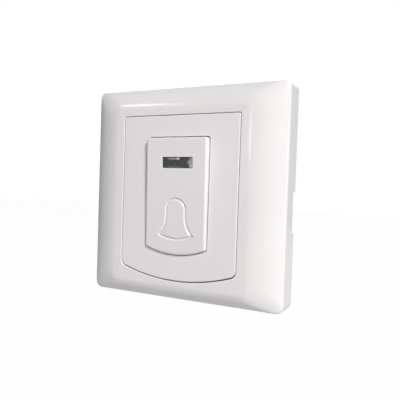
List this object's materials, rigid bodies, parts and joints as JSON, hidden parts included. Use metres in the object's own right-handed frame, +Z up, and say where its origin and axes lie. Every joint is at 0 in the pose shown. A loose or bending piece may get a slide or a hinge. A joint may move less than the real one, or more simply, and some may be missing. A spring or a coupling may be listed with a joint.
{
  "type": "doorbell push button",
  "caption": "Square white wall plate with a domed frame, a flat insert and a rocking push key that carries a lit window and a bell emblem, over a spring-return contact mechanism.",
  "frame": {"origin": "centre of the wall plane behind the plate, midway between the two fixing slots", "axes": "+X to the right as seen from the front, +Y into the wall, +Z up; the key faces -Y"},
  "size_m": [0.086, 0.0363, 0.086],
  "materials": {
    "white_gloss": "fine satin gloss",
    "smoked_lens": "tinted, clear",
    "base_plastic": "moulded matt",
    "housing_plastic": "moulded matt",
    "plunger_plastic": "smooth",
    "spring_steel": "drawn wire",
    "screw_steel": "zinc plated",
    "contact_brass": "stamped",
    "contact_silver": "plated",
    "lamp_glass": "clear",
    "tinned_wire": "tinned",
    "resistor_body": "lacquered"
  },
  "bodies": {
    "plate_assembly": {"face_frame": "white_gloss", "insert_panel": "white_gloss", "base_plate": "base_plastic", "mechanism_housing": "housing_plastic", "rear_cover": "housing_plastic", "return_spring": "spring_steel", "terminal_right": "contact_brass", "terminal_left": "contact_brass", "lamp_holder": "housing_plastic", "neon_lamp": "lamp_glass", "lamp_electrodes": "tinned_wire", "lamp_lead_left": "tinned_wire", "lamp_lead_right": "tinned_wire", "ballast_resistor": "resistor_body", "resistor_lead": "tinned_wire", "fixed_contact_right": "contact_silver", "fixed_contact_left": "contact_silver", "clamp_screw_right": "screw_steel", "clamp_screw_left": "screw_steel", "housing_screws": "screw_steel", "cover_screws": "screw_steel"},
    "key_lever": {"push_key": "white_gloss", "indicator_lens": "smoked_lens"},
    "plunger_stack": {"plunger": "plunger_plastic", "contact_bridge": "contact_brass", "retaining_clip": "spring_steel", "contact_spring": "spring_steel", "bridge_contacts": "contact_silver"}
  },
  "joints": [
    {"name": "key_press", "type": "hinge", "parent": "plate_assembly", "child": "key_lever", "pos_m": [0, -0.0122, -0.017], "axis": [-1, 0, 0], "range_deg": [0, 3.2], "stiffness_Nm_per_rad": 0.75, "springref_deg": -3.44},
    {"name": "plunger_slide", "type": "slide", "parent": "plate_assembly", "child": "plunger_stack", "axis": [0, 1, 0], "range_m": [0, 0.00112], "deforming": ["return_spring"]}
  ],
  "couplings": [
    {"joint": "plunger_slide", "follows": "key_press", "m_per_rad": 0.02}
  ]
}
